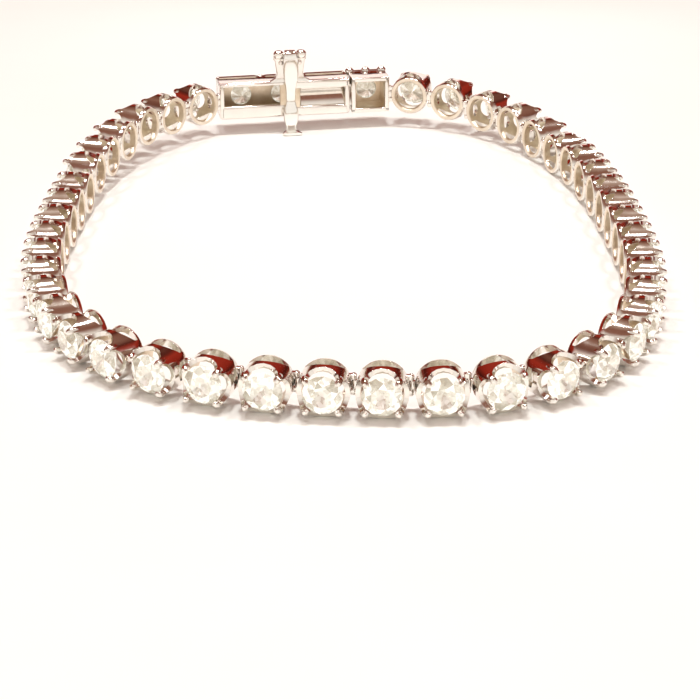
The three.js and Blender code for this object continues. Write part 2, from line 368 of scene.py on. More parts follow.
def outer_radius(out):
    """The cup is straight at the base ring and flares gently towards the rim."""
    share = max(0.0, min(1.0, (out - FLARE_START) / (SEAT_LEVEL - FLARE_START)))
    return BASE_RADIUS - ring_rounding(out) + (CUP_RADIUS - BASE_RADIUS) * share


def inner_radius(out):
    """The wall is thick at the base ring and opens to the seat of the stone."""
    share = max(0.0, min(1.0, (out + FLARE_START) / (SEAT_LEVEL + FLARE_START)))
    opening = CUP_RADIUS - WALL_THICKNESS - BASE_HOLE
    return BASE_HOLE + ring_rounding(out) + opening * share ** SEAT_FULLNESS


def around(radius, angle, out):
    return radius * math.sin(angle), out, radius * math.cos(angle)


print("wall at the wrist side:", round(outer_radius(WRIST_PLANE) - inner_radius(WRIST_PLANE), 2))
print("wall at the seat:", round(outer_radius(SEAT_LEVEL) - inner_radius(SEAT_LEVEL), 2))

# %% The pierced wall of the cup
WINDOW_ROWS = (2, 3)
# The side of the base ring next to the skin gets this share of the inside finish: rougher, and painted
# a darker beige-grey, a painted shade that dims its reflection.
WRIST_RING_ROUGH_AND_SHADE = 0.75


def wall_columns():
    """Every column of the grid, where two sides share the column in the middle of their post."""
    columns = []
    for side in range(4):
        window = TALL_WINDOW if side % 2 == 0 else HINGE_WINDOW
        for k in range(-QUARTER // 2, QUARTER // 2):
            is_post = k == -QUARTER // 2
            points = [(side * math.pi / 2 + angle, out) for angle, out in column(k, window)]
            if is_post:
                before = TALL_WINDOW if side % 2 else HINGE_WINDOW
                twin = column(QUARTER // 2, before)
                points = [(angle, (out + other) / 2) for (angle, out), (_, other) in zip(points, twin)]
            columns.append(points)
    return columns


def pierced_wall():
    columns = wall_columns()
    count, rows = len(columns), len(columns[0])
    outer = [around(outer_radius(out), angle, out) for points in columns for angle, out in points]
    inner = [around(inner_radius(out), angle, out) for points in columns for angle, out in points]

    def is_open(i, row):
        if not 0 <= row < rows - 1:
            return True
        window = TALL_WINDOW if i // QUARTER % 2 == 0 else HINGE_WINDOW
        k = i % QUARTER - QUARTER // 2
        return row in WINDOW_ROWS and -window["cells"] <= k < window["cells"]

    faces, insides = [], []
    shift = count * rows
    for i in range(count):
        j = (i + 1) % count
        for row in range(rows - 1):
            if is_open(i, row):
                continue
            a, b, c, d = i * rows + row, j * rows + row, j * rows + row + 1, i * rows + row + 1
            faces.append([a, b, c, d])
            faces.append([shift + d, shift + c, shift + b, shift + a])
            # The inner face of the wall gets the full inside mark: rougher metal and painted shade.
            insides += [0.0, 1.0]
            edges = [(a, b, i, row - 1), (b, c, j, row), (c, d, i, row + 1), (d, a, (i - 1) % count, row)]
            for start, end, beside, level in edges:
                if is_open(beside, level):
                    faces.append([start, shift + start, shift + end, end])
                    insides.append(WRIST_RING_ROUGH_AND_SHADE if level < 0 else 0.0)
    return Shape().add(outer + inner, faces, insides)


print("faces in the wall of one cup:", len(pierced_wall().faces))

# %% [markdown]
# The four claws are drops of metal that stand on the posts and are pushed over the edge of the stone.
# Each is a short loft of circles along a bent line, whose table holds the distance from the stone's
# axis, the distance out and the thickness. The hinge is three knuckles in a row: the tab of one link
# between the two ears of the next, with a rivet whose ends are left round. A curve with a round bevel
# could make the claws too, but its ends would need closing by hand.

# %% Claws and hinge knuckles
CLAW_LINE = [
    (1.63, 1.60, 0.10), (1.635, 1.90, 0.20), (1.63, 2.15, 0.235), (1.60, 2.36, 0.25),
    (1.51, 2.50, 0.24), (1.39, 2.56, 0.19), (1.30, 2.57, 0.10),
]
CLAW_SIDES = 10
KNUCKLE_RADIUS, KNUCKLE_EDGE, KNUCKLE_STEPS = 0.21, 0.06, 8
ARM_HALF = KNUCKLE_RADIUS - 0.03
TAB_HALF, TAB_OVERLAP = 0.3, 0.2
EAR_INNER, EAR_OUTER, EAR_OVERLAP = 0.36, 0.72, 0.3
RIVET_RADIUS, RIVET_HEAD, RIVET_SIDES = 0.14, 0.08, 10


def claw(shape, angle):
    """A bent drop of metal in the plane through the stone's middle at that angle."""
    along_plane = Vector((math.sin(angle), 0, math.cos(angle)))
    sideways = Vector((math.cos(angle), 0, -math.sin(angle)))
    outwards = Vector((0, 1, 0))
    rings = []
    for i, (radius, out, thick) in enumerate(CLAW_LINE):
        before, after = CLAW_LINE[max(i - 1, 0)], CLAW_LINE[min(i + 1, len(CLAW_LINE) - 1)]
        direction = along_plane * (after[0] - before[0]) + outwards * (after[1] - before[1])
        across = direction.normalized().cross(sideways)
        middle = along_plane * radius + outwards * out
        rings.append([middle + across * a + sideways * b for a, b in circle(thick, CLAW_SIDES)])
    shape.loft(rings)


def hinge_arm(shape, hinge, body, low, high):
    """A knuckle around the hinge line with an arm that runs into the base ring."""
    facing = math.copysign(1, hinge - body)
    outline = []
    for step in range(KNUCKLE_STEPS + 1):
        angle = math.pi / 2 - math.pi * step / KNUCKLE_STEPS
        outline.append((facing * math.cos(angle) * KNUCKLE_RADIUS, math.sin(angle) * KNUCKLE_RADIUS))
    rings = []
    for height, inset in bevel_rows(low, high, KNUCKLE_EDGE):
        shrink = 1 - inset / KNUCKLE_RADIUS
        ring = [(hinge + a * shrink, b * shrink, height) for a, b in outline]
        ring += [(body, side * ARM_HALF * shrink, height) for side in (-1, 1)]
        rings.append(ring)
    shape.loft(rings)


def add_tab(shape, hinge, body):
    hinge_arm(shape, hinge, body, -TAB_HALF, TAB_HALF)


def add_ears(shape, hinge, body):
    hinge_arm(shape, hinge, body, EAR_INNER, EAR_OUTER)
    hinge_arm(shape, hinge, body, -EAR_OUTER, -EAR_INNER)
    head = EAR_OUTER + RIVET_HEAD
    barrel(shape, (hinge, 0, 0), RIVET_RADIUS, -head, head, axis=2, edge=RIVET_HEAD, count=RIVET_SIDES)


def one_setting():
    shape = pierced_wall()
    for quarter in range(4):
        claw(shape, math.pi / 4 + quarter * math.pi / 2)
    add_tab(shape, pitch / 2, BASE_RADIUS - TAB_OVERLAP)
    add_ears(shape, -pitch / 2, -(BASE_RADIUS - EAR_OVERLAP))
    return shape


print("faces in one setting:", len(one_setting().faces))

# %% [markdown]
# ## One stone
# A round brilliant has a flat table, a crown of star, kite and girdle facets, a thin girdle, and a
# pavilion that comes to a point. A cone with a bump texture could stand in for it from far away, but
# the facets are what makes it sparkle, so the mesh has exactly those facets and stays flat shaded. Each
# ring of corners is worked out from the usual proportions.

# %% A round brilliant
STONE = {"radius": 1.37, "girdle": 2.06, "girdle_height": 0.05, "crown": 0.42, "depth": 1.2}
STONE_SHARES = {"table": 0.56, "stars": 0.8, "star_depth": 0.42, "mains": 0.24, "main_depth": 0.79}


def brilliant():
    """Corners of the table, the stars, the upper girdle, the lower girdle, the mains and the culet."""
    radius, girdle, share = STONE["radius"], STONE["girdle"], STONE_SHARES
    top = girdle + STONE["girdle_height"] + STONE["crown"]
    star_level = top - STONE["crown"] * share["star_depth"]
    main_level = girdle - STONE["depth"] * share["main_depth"]
    step = math.pi / 8
    table = [around(radius * share["table"], 2 * i * step, top) for i in range(8)]
    stars = [around(radius * share["stars"], (2 * i + 1) * step, star_level) for i in range(8)]
    upper = [around(radius, i * step, girdle + STONE["girdle_height"]) for i in range(16)]
    lower = [around(radius, i * step, girdle) for i in range(16)]
    mains = [around(radius * share["mains"], (2 * i + 1) * step, main_level) for i in range(8)]
    culet = [(0, girdle - STONE["depth"], 0)]
    table_at, star_at, upper_at, lower_at, main_at, culet_at = 0, 8, 16, 32, 48, 56
    faces = [list(range(8))]
    for i in range(8):
        j = (i + 1) % 8
        left, middle, right = 2 * i, 2 * i + 1, (2 * i + 2) % 16
        faces += [
            [table_at + i, table_at + j, star_at + i],
            [table_at + j, star_at + i, upper_at + right, star_at + j],
            [star_at + i, upper_at + left, upper_at + middle],
            [star_at + i, upper_at + middle, upper_at + right],
            [lower_at + left, main_at + i, lower_at + middle],
            [lower_at + middle, main_at + i, lower_at + right],
            [lower_at + right, main_at + i, culet_at, main_at + j],
        ]
    for i in range(16):
        j = (i + 1) % 16
        faces.append([upper_at + i, upper_at + j, lower_at + j, lower_at + i])
    return Shape().add(table + stars + upper + lower + mains + culet, faces)


stone_shape = brilliant()
print("facets of one stone:", len(stone_shape.faces))

# %% [markdown]
# ## Finishes
# Rhodium-plated white gold is a mirror with a warm tint. A perfect mirror looks like plastic, so the
# roughness wanders a little with the polishing, and fine lines stand in for wear. Writing shader maths
# as node links is hard to read, so a small class wraps a socket and lets plain Python expressions
# build the nodes, and a second class adds any other node with its settings and sockets in one line.

# %% Arithmetic on sockets
class Value:
    """A socket that can be used in Python arithmetic. Each operation adds one Math node."""

    def __init__(self, kit, socket):
        self.kit = kit
        self.socket = socket

    def math(self, operation, other, swapped=False):
        inputs = [other, self] if swapped else [self, other]
        return self.kit.node("ShaderNodeMath", {"operation": operation}, inputs)["Value"]

    def __add__(self, other):
        return self.math("ADD", other)

    def __radd__(self, other):
        return self.math("ADD", other, True)

    def __sub__(self, other):
        return self.math("SUBTRACT", other)

    def __rsub__(self, other):
        return self.math("SUBTRACT", other, True)

    def __mul__(self, other):
        return self.math("MULTIPLY", other)

    def __rmul__(self, other):
        return self.math("MULTIPLY", other, True)


# %% Adding nodes
class Kit:
    """Adds nodes to one tree."""

    def __init__(self, tree):
        self.tree = tree

    def node(self, kind, settings=None, inputs=None):
        """A node of that type. Settings come first, then its sockets by name or in order."""
        made = self.tree.nodes.new(kind)
        for name, value in (settings or {}).items():
            setattr(made, name, value)
        pairs = inputs.items() if isinstance(inputs, dict) else enumerate(inputs or [])
        for key, value in pairs:
            self.feed(made.inputs[key], value)
        return {socket.name: Value(self, socket) for socket in made.outputs}

    def feed(self, socket, value):
        if isinstance(value, Value):
            self.tree.links.new(value.socket, socket)
        elif value is not None:
            socket.default_value = value

    def ramp(self, factor, stops):
        """A colour ramp whose stops are pairs of place and colour."""
        made = self.tree.nodes.new("ShaderNodeValToRGB")
        elements = made.color_ramp.elements
        while len(elements) < len(stops):
            elements.new(1)
        for element, (place, colour) in zip(elements, stops):
            element.position = place
            element.color = (*colour, 1)
        self.feed(made.inputs["Fac"], factor)
        return Value(self, made.outputs["Color"])

    def mix(self, factor, first, second):
        """A blend of two colours."""
        made = self.tree.nodes.new("ShaderNodeMix")
        made.data_type = "RGBA"
        for i, value in ((0, factor), (6, first), (7, second)):
            self.feed(made.inputs[i], value)
        return Value(self, made.outputs[2])


def new_material(name):
    material = bpy.data.materials.new(name)
    material.use_nodes = True
    material.node_tree.nodes.clear()
    return material, Kit(material.node_tree)


# %% Polished gold
SWIRLS_PER_METRE, MARKS_PER_METRE = 900, 5200
MARK_HEIGHT = 0.01 * MM
TINT_STOPS = (0.3, 0.7)
SWIRL_SHADE = 0.94
# Tints of the faces marked as inside: rough raw metal, painted darker as painted shade in the hollows.
RAW_AND_SHADE_DARK, RAW_AND_SHADE_LIGHT = (0.66, 0.54, 0.40), (0.86, 0.76, 0.62)
RAW_ROUGHNESS = 0.25


def polished_gold(name, colour, low_roughness, high_roughness, mark_strength):
    """A polished metal that turns into rougher raw metal where its faces are marked as inside, with a
    darker tint there that is painted shade.
    """
    material, kit = new_material(name)
    place = kit.node("ShaderNodeTexCoord")["Object"]
    swirl = kit.node("ShaderNodeTexNoise", None, {
        "Vector": place, "Scale": SWIRLS_PER_METRE, "Detail": 3})["Fac"]
    marks = kit.node("ShaderNodeTexNoise", None, {
        "Vector": place, "Scale": MARKS_PER_METRE, "Detail": 2})["Fac"]
    inside = kit.node("ShaderNodeAttribute", {"attribute_name": "inside"})["Fac"]
    roughness = low_roughness + (high_roughness - low_roughness) * swirl + RAW_ROUGHNESS * inside
    bump = kit.node("ShaderNodeBump", None, {
        "Strength": mark_strength, "Distance": MARK_HEIGHT, "Height": marks})
    shaded = [channel * SWIRL_SHADE for channel in colour]
    polished = kit.ramp(swirl, list(zip(TINT_STOPS, (shaded, colour))))
    raw_and_shade_tint = kit.ramp(swirl, list(zip(TINT_STOPS, (RAW_AND_SHADE_DARK, RAW_AND_SHADE_LIGHT))))
    # The marked faces take the darker tint, a painted shade inside the cups and the box.
    tint = kit.mix(inside, polished, raw_and_shade_tint)
    surface = kit.node("ShaderNodeBsdfPrincipled", None, {
        "Base Color": tint, "Metallic": 1.0, "Roughness": roughness, "Normal": bump["Normal"]})
    kit.node("ShaderNodeOutputMaterial", None, {"Surface": surface["BSDF"]})
    return material


white_gold = polished_gold("white_gold", (0.90, 0.86, 0.81), 0.05, 0.16, 0.12)
# The latch and its pin take the same white gold, smoother and painted lighter: a painted highlight for
# the brighter light on the latch.
latch_gold = polished_gold("latch_gold", (0.95, 0.93, 0.89), 0.04, 0.12, 0.08)
print("metals:", white_gold.name, latch_gold.name)

# %% [markdown]
# A diamond is clear, bends light strongly and throws most of it back out through the top, so each facet
# flashes in its own shade of white. Tracing every ray through so many small stones would need far more
# samples, so each facet carries a painted brightness of its own, a painted reflection, small cells break
# it up into painted glints, and the bright ones glow a little, a painted highlight as if they had caught
# a lamp. The rest of the light goes through the stone.

# %% Clear stone
PAINTED_GLINTS_PER_METRE = 3600
FACET_SHARE, PAINTED_GLINT_SHARE = 0.35, 0.65
# Colours and glow of the painted sparkle: painted reflections and highlights on the facets.
PAINTED_SPARKLE_TINTS = [(0.0, (0.55, 0.51, 0.41)), (0.15, (0.85, 0.82, 0.73)), (0.35, (1, 1, 0.98))]
PAINTED_SPARKLE_GLOW = [(0.1, (0.06, 0.055, 0.04)), (0.25, (0.3, 0.3, 0.27)), (0.5, (0.85, 0.85, 0.82))]


def clear_stone():
    material, kit = new_material("clear_diamond")
    facet = kit.node("ShaderNodeAttribute", {"attribute_name": "painted_sparkle"})["Fac"]
    place = kit.node("ShaderNodeTexCoord")["Object"]
    cell = kit.node("ShaderNodeTexVoronoi", None, {"Vector": place, "Scale": PAINTED_GLINTS_PER_METRE})["Color"]
    painted_glints = kit.node("ShaderNodeSeparateColor", None, {"Color": cell})["Red"]
    # Painted glints: each facet's painted brightness broken up by cells.
    painted_sparkle = facet * (FACET_SHARE + PAINTED_GLINT_SHARE * painted_glints)
    surface = kit.node("ShaderNodeBsdfPrincipled", None, {
        "Base Color": kit.ramp(painted_sparkle, PAINTED_SPARKLE_TINTS), "Roughness": 0.02, "IOR": 1.9,
        "Transmission Weight": 0.7,
        "Emission Color": kit.ramp(painted_sparkle, PAINTED_SPARKLE_GLOW), "Emission Strength": 0.6})
    kit.node("ShaderNodeOutputMaterial", None, {"Surface": surface["BSDF"]})
    return material


diamond = clear_stone()
print("finishes:", [material.name for material in bpy.data.materials])

# %% [markdown]
# ## Copies along the chain
# The settings and stones repeat, so one Geometry Nodes tree puts a copy of an item on every point of
# a list. Each point carries its turn as an attribute. An Array modifier could not follow the turns of
# the loop, and loose linked objects would each count as a piece. The copies are made real at the end
# and become one plain mesh.

# %% The tree that sets copies
def copies_tree():
    tree = bpy.data.node_groups.new("copies_on_places", "GeometryNodeTree")
    sockets = tree.interface
    sockets.new_socket("Places", in_out="INPUT", socket_type="NodeSocketGeometry")
    sockets.new_socket("Item", in_out="INPUT", socket_type="NodeSocketObject")
    sockets.new_socket("Size", in_out="INPUT", socket_type="NodeSocketFloat")
    sockets.new_socket("Finish", in_out="INPUT", socket_type="NodeSocketMaterial")
    sockets.new_socket("Mesh", in_out="OUTPUT", socket_type="NodeSocketGeometry")
    kit = Kit(tree)
    given = kit.node("NodeGroupInput")
    item = kit.node("GeometryNodeObjectInfo", None, {"Object": given["Item"]})["Geometry"]
    turn = kit.node("GeometryNodeInputNamedAttribute", {"data_type": "FLOAT_VECTOR"}, {"Name": "turn"})
    set_out = kit.node("GeometryNodeInstanceOnPoints", None, {
        "Points": given["Places"], "Instance": item,
        "Rotation": turn["Attribute"], "Scale": given["Size"]})
    real = kit.node("GeometryNodeRealizeInstances", None, {"Geometry": set_out["Instances"]})
    finished = kit.node("GeometryNodeSetMaterial", None, {
        "Geometry": real["Geometry"], "Material": given["Finish"]})
    kit.node("NodeGroupOutput", None, {"Mesh": finished["Geometry"]})
    return tree


def settle(obj):
    """Turns what the modifiers make into a plain mesh."""
    evaluated = obj.evaluated_get(bpy.context.evaluated_depsgraph_get())
    mesh = bpy.data.meshes.new_from_object(evaluated)
    obj.modifiers.clear()
    obj.data = mesh
    return obj


def set_copies(name, item, places, finish, size=1.0):
    points = bpy.data.meshes.new(name)
    points.from_pydata([place.translation for place in places], [], [])
    turns = points.attributes.new("turn", "FLOAT_VECTOR", "POINT")
    for value, place in zip(turns.data, places):
        value.vector = place.to_euler()
    obj = bpy.data.objects.new(name, points)
    bpy.context.scene.collection.objects.link(obj)
    modifier = obj.modifiers.new("copies", "NODES")
    modifier.node_group = COPIES
    values = {"Item": item, "Size": size, "Finish": finish}
    for socket in COPIES.interface.items_tree:
        if socket.name in values:
            modifier[socket.identifier] = values[socket.name]
    settle(obj)
    triangles = sum(len(polygon.vertices) - 2 for polygon in obj.data.polygons)
    print(name, "copies:", len(places), "triangles:", triangles)
    return obj


COPIES = copies_tree()
print("inputs of the tree:", [socket.name for socket in COPIES.interface.items_tree])

# %% [markdown]
# ## Settings and stones round the loop
# Before the setting is copied, a narrow bevel softens the edges that the files left, because a hard
# edge catches no light. The stone is copied as it is, but each facet first gets a painted brightness,
# a painted reflection that is dimmed as painted shade on the facets facing the skin, and each copy
# is turned about its own axis, as stones are in real settings. The settings are made in three joined
# pieces, so that none of them grows too heavy.

# %% Soft edges, painted facet brightness and turns
EDGE_WIDTH, EDGE_ANGLE, EDGE_STEPS = 0.035, 35, 2
STONE_SEED = 7
# Facets facing the skin get at most this share of the painted brightness: painted shade on the pavilion.
PAVILION_PAINTED_SHADE = 0.4
PAVILION_SLOPE = -0.1


def with_soft_edges(obj, width, angle):
    bevel = obj.modifiers.new("soft_edges", "BEVEL")
    bevel.width = width * MM
    bevel.segments = EDGE_STEPS
    bevel.limit_method = "ANGLE"
    bevel.angle_limit = math.radians(angle)
    bevel.harden_normals = True
    return settle(obj)


def with_painted_sparkle(obj):
    """Every facet gets its own painted brightness, from 0 for the darkest to 1 for the brightest: a
    painted reflection, dimmed as painted shade on facets that face the skin.
    """
    choose = random.Random(STONE_SEED)
    painted_sparkles = obj.data.attributes.new("painted_sparkle", "FLOAT", "FACE")
    for value, polygon in zip(painted_sparkles.data, obj.data.polygons):
        faces_skin = polygon.normal.y < PAVILION_SLOPE
        value.value = choose.random() * (PAVILION_PAINTED_SHADE if faces_skin else 1)
    return obj


def spun(places):
    """The same places, each turned about the stone's own axis, so that no two stones look alike."""
    choose = random.Random(STONE_SEED)
    return [place @ Matrix.Rotation(choose.uniform(0, 2 * math.pi), 4, "Y") for place in places]


setting_item = with_soft_edges(one_setting().to_object("setting_item"), EDGE_WIDTH, EDGE_ANGLE)
stone_item = with_painted_sparkle(stone_shape.to_object("stone_item", smooth=False))
print("faces of the softened setting:", len(setting_item.data.polygons))

# %% Set them round the loop
GROUPS = 3
per_group = len(link_places) // GROUPS
for group in range(GROUPS):
    part = slice(group * per_group, (group + 1) * per_group)
    settings = set_copies(f"settings_{group + 1}", setting_item, link_places[part], white_gold)
    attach(settings, "bracelet")
    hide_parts(*LINK_NODES[part])

link_stones = set_copies("link_stones", stone_item, spun(link_places), diamond)
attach(link_stones, "bracelet")
bpy.data.objects.remove(setting_item)

# %% [markdown]
# ## Clasp box
# The box is a hollow frame: a tube of four walls, a front plate with a round seat for each of its
# stones, and a wrist side that is cut open in two windows, one over the stones and one over the
# tongue. It is put together from rounded bars, as a goldsmith would solder it, because that gives every
# wall its own soft edges. Cutting a solid block with booleans would need its edges rounded afterwards.

# %% Plate with seats for the stones
BOX = {"start": -BOX_HALF + 0.15, "end": BOX_HALF - 0.1, "half_height": 1.65, "wall": 0.4}
PLATE = {"back": 2.05, "front": 2.62, "edge": 0.06, "hole": 1.22, "seat": 0.95, "sides": 32}


def seat_plate(shape, middle, low, high):
    """A rectangular plate with a conical hole for a stone, between two places along the chain."""
    half = BOX["half_height"]
    turns = [2 * math.pi * (i + 0.5) / PLATE["sides"] for i in range(PLATE["sides"])]

    def hole(radius, out):
        return [(middle + radius * math.sin(turn), out, radius * math.cos(turn)) for turn in turns]

    def edge(out, inset):
        ring = []
        for turn in turns:
            side, up = math.sin(turn), math.cos(turn)
            reach = (high if side > 0 else low) - middle
            scale = min(abs(reach / side), abs(half / up))
            a = middle + side * scale
            ring.append((a - math.copysign(inset, side), out, up * scale - math.copysign(inset, up)))
        return ring

    return shape.loft([
        hole(PLATE["hole"], PLATE["front"]),
        edge(PLATE["front"], PLATE["edge"]),
        edge(PLATE["front"] - PLATE["edge"], 0.0),
        edge(PLATE["back"], 0.0),
        hole(PLATE["seat"], PLATE["back"]),
    ], wrapped=True)


print("faces of a plate with one seat:", len(seat_plate(Shape(), 0, -pitch / 2, pitch / 2).faces))

# %% Walls, rails and grains of the box
WALL_FRONT = PLATE["back"] + 0.1
SIDE_WALL = {"back": 0.55, "inner": 0.02, "outer": 0.03, "edge": 0.06}
RAIL = {"depth": 0.5, "top_edge": 0.1, "bottom_edge": 0.2}
# Each run of the rails: where it starts and ends along the box, and how high its top and bottom rail are.
RAIL_RUNS = [(BOX["start"], 0.5, 0.3, 1.2), (0.5, BOX["end"], 0.7, 0.92)]
END_INSET = 0.1
LIP = {"width": 0.42, "depth": 0.3, "edge": 0.12}
MIDDLE_WALL = {"start": -0.45, "end": 1.45, "back": 0.03, "front": 0.35}
GRAIN = {"radius": 0.3, "flat": 0.8, "sunk": 0.02, "up": 1.36, "from_end": 0.25}


def box_walls(shape):
    start, end, half, wall = BOX["start"], BOX["end"], BOX["half_height"], BOX["wall"]
    back, low, high = WRIST_PLANE, -BOX["half_height"] + END_INSET, BOX["half_height"] - END_INSET
    for side in (-1, 1):
        inner, outer = sorted((side * (half - wall), side * half))
        corner = (start, back + SIDE_WALL["back"], inner + SIDE_WALL["inner"])
        bar(shape, corner, (end, WALL_FRONT, outer - SIDE_WALL["outer"]), SIDE_WALL["edge"])
    for first, last, above, below in RAIL_RUNS:
        depth = back + RAIL["depth"]
        bar(shape, (first, back, half - above), (last, depth, half), RAIL["top_edge"])
        bar(shape, (first, back, -half), (last, depth, -half + below), RAIL["bottom_edge"])
    bar(shape, (start, back, low), (start + wall, WALL_FRONT, high))
    bar(shape, (end - LIP["width"], back, low), (end, back + LIP["depth"], high), LIP["edge"])
    corner = (MIDDLE_WALL["start"], back + MIDDLE_WALL["back"], low)
    bar(shape, corner, (MIDDLE_WALL["end"], back + MIDDLE_WALL["front"], high))


def clasp_front(shape):
    edges = [BOX["start"], -pitch / 2, pitch / 2, BOX["end"]]
    for i, middle in enumerate((-pitch, 0, pitch)):
        seat_plate(shape, middle, edges[i], edges[i + 1])
    first, last = BOX["start"] + GRAIN["from_end"], BOX["end"] - GRAIN["from_end"]
    for edge in edges:
        along = min(max(edge, first), last)
        for side in (-1, 1):
            middle = (along, PLATE["front"] - GRAIN["sunk"], side * GRAIN["up"])
            bead(shape, middle, GRAIN["radius"], flat=GRAIN["flat"])


print("box from", round(BOX["start"], 2), "to", round(BOX["end"], 2), "along the clasp")

# %% [markdown]
# The latch hangs from a hinge that stands above the box. Its two outer knuckles sit on a flared
# bracket, soldered to the top rail, and a grain of metal under each one shows from the wrist side. The
# bracket is a loft of rounded rectangles, because its width changes with height and nothing else does.

# %% Hinge bracket of the latch
LATCH_ALONG = 0.5
BARREL = {"out": -0.15, "up": 4.2, "radius": 0.42, "middle": 0.5, "gap": 0.05, "outer": 0.95}
OUTER_KNUCKLE = {"edge": 0.38, "sides": 24}
BRACKET = {"back": -0.22, "front": 0.25, "corner": 0.12}
# Rows of the bracket: a height and how far it reaches past the ends of the knuckles. The heights of the
# foot are above the box, and those of the head are from the hinge line, in radii of a knuckle.
BRACKET_FOOT = [(-0.15, 0.4), (0.05, 0.36), (0.35, -0.12), (0.8, -0.28)]
BRACKET_HEAD = [(-1.25, -0.12), (-1, 0)]
SADDLE = {"half_depth": 0.2, "drop": 0.1, "edge": 0.1}
BRACKET_GRAIN = {"radius": 0.24, "along": 0.3, "out": -0.2, "drop": 0.32}


def bracket_rows(outer):
    """Pairs of height and half width, from inside the top rail to the knuckles."""
    foot_rows = [(BOX["half_height"] + rise, outer + past) for rise, past in BRACKET_FOOT]
    head_rows = [(BARREL["up"] + BARREL["radius"] * rise, outer + past) for rise, past in BRACKET_HEAD]
    return foot_rows + head_rows


def bracket(shape):
    """A flared post on the top rail that carries the two outer knuckles."""
    up, radius = BARREL["up"], BARREL["radius"]
    inner = BARREL["middle"] + BARREL["gap"]
    outer = inner + BARREL["outer"]
    rings = []
    for height, half in bracket_rows(outer):
        corners = (-half, BRACKET["back"]), (half, BRACKET["front"])
        outline = rounded_rectangle(*corners, BRACKET["corner"])
        rings.append([(LATCH_ALONG + a, b, height) for a, b in outline])
    shape.loft(rings)
    for side in (-1, 1):
        near, far = sorted((LATCH_ALONG + side * inner, LATCH_ALONG + side * outer))
        barrel(shape, (0, BARREL["out"], up), radius, near, far, axis=0,
               edge=OUTER_KNUCKLE["edge"], count=OUTER_KNUCKLE["sides"])
        low = (near, -SADDLE["half_depth"], up - radius - SADDLE["drop"])
        bar(shape, low, (far, SADDLE["half_depth"], up - SADDLE["drop"]), SADDLE["edge"])
        along = LATCH_ALONG + side * (inner + BRACKET_GRAIN["along"])
        middle = (along, BRACKET_GRAIN["out"], up - radius - BRACKET_GRAIN["drop"])
        bead(shape, middle, BRACKET_GRAIN["radius"])


print("hinge line above the middle of the box:", BARREL["up"])

# %% [markdown]
# The parts of the box now become one piece. The polishing wheel never reaches the inside of a hollow
# box, so the faces there are marked as inside, which the finish turns into rougher cast metal with a
# darker tint, painted shade for the hollow. A second material could do this too, but a mark per face
# keeps the piece in one finish.

# %% Join the box
ARM_OVERLAP = 0.3
CAVITY = {"inset": 0.2, "back": 0.0, "front": 2.3, "half_height": 1.3}
MIDDLE_MARK = {"inset": -0.1, "back": -1, "front": 0.3, "half_height": 1.2}


def clasp_box():
    shape = Shape()
    box_walls(shape)
    clasp_front(shape)
    bracket(shape)
    add_ears(shape, -BOX_HALF, BOX["start"] + ARM_OVERLAP)
    return shape


def mark_inside(obj, start, end, room):
    """Marks the faces in a room of the clasp for the rough inside finish with painted shade, between two
    places along it, and counts them.
    """
    low = (start + room["inset"], room["back"], -room["half_height"])
    high = (end - room["inset"], room["front"], room["half_height"])
    to_clasp = clasp.inverted()
    count = 0
    for mark, polygon in zip(obj.data.attributes["inside"].data, obj.data.polygons):
        middle = to_clasp @ polygon.center / MM
        if all(low[axis] < middle[axis] < high[axis] for axis in range(3)):
            mark.value = 1.0
            count += 1
    return count


box_piece = clasp_box().to_object("box_walls", clasp)
marked = mark_inside(box_piece, BOX["start"], BOX["end"], CAVITY)
marked += mark_inside(box_piece, MIDDLE_WALL["start"], MIDDLE_WALL["end"], MIDDLE_MARK)
print("marks set inside the box:", marked)
box_piece.data.materials.append(white_gold)
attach(box_piece, "bracelet")
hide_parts("clasp_box")

# %% [markdown]
# ## Tongue link
# The square end link holds the last stone and carries the tongue, a bright springy strip that shows
# through the window of the box. The link is four walls and a plate, made as the box is. The tongue has
# the same cross section all along, so its outline is drawn once, as pairs of out and up, and lofted.

# %% Square link
SQUARE = {"start": BOX_HALF + 0.1, "end": BOX_HALF + pitch - 0.15, "end_inset": 0.05}
SQUARE_GRAIN = {"radius": 0.46, "flat": 0.75, "sunk": 0.16, "up": 1.5, "from_end": 0.25}


def square_link(shape):
    start, end, half, wall = SQUARE["start"], SQUARE["end"], BOX["half_height"], BOX["wall"]
    back, height = WRIST_PLANE, BOX["half_height"] - SQUARE["end_inset"]
    for side in (-1, 1):
        inner, outer = sorted((side * (half - wall), side * half))
        bar(shape, (start, back, inner), (end, WALL_FRONT, outer))
    for low in (start, end - wall):
        bar(shape, (low, back, -height), (low + wall, WALL_FRONT, height))
    middle = (start + end) / 2
    seat_plate(shape, middle, start, end)
    for along in (start + SQUARE_GRAIN["from_end"], middle, end - SQUARE_GRAIN["from_end"]):
        for side in (-1, 1):
            grain = (along, PLATE["front"] - SQUARE_GRAIN["sunk"], side * SQUARE_GRAIN["up"])
            bead(shape, grain, SQUARE_GRAIN["radius"], flat=SQUARE_GRAIN["flat"])


print("square link from", round(SQUARE["start"], 2), "to", round(SQUARE["end"], 2))

# %% Tongue
TONGUE_START, TONGUE_OVERLAP = 1.55, 0.2
TONGUE_TIP = {"length": 0.12, "share": 0.86}
TONGUE_PROFILE = [
    (0.18, -1.00), (0.08, -0.95), (0.16, -0.66), (0.36, -0.25), (0.60, 0.12), (0.80, 0.42), (0.72, 0.58),
    (0.36, 0.66), (0.24, 0.80), (0.26, 0.98), (0.38, 1.00), (0.42, 0.82), (0.82, 0.72), (0.96, 0.42),
    (0.72, 0.02), (0.48, -0.34), (0.28, -0.72),
]


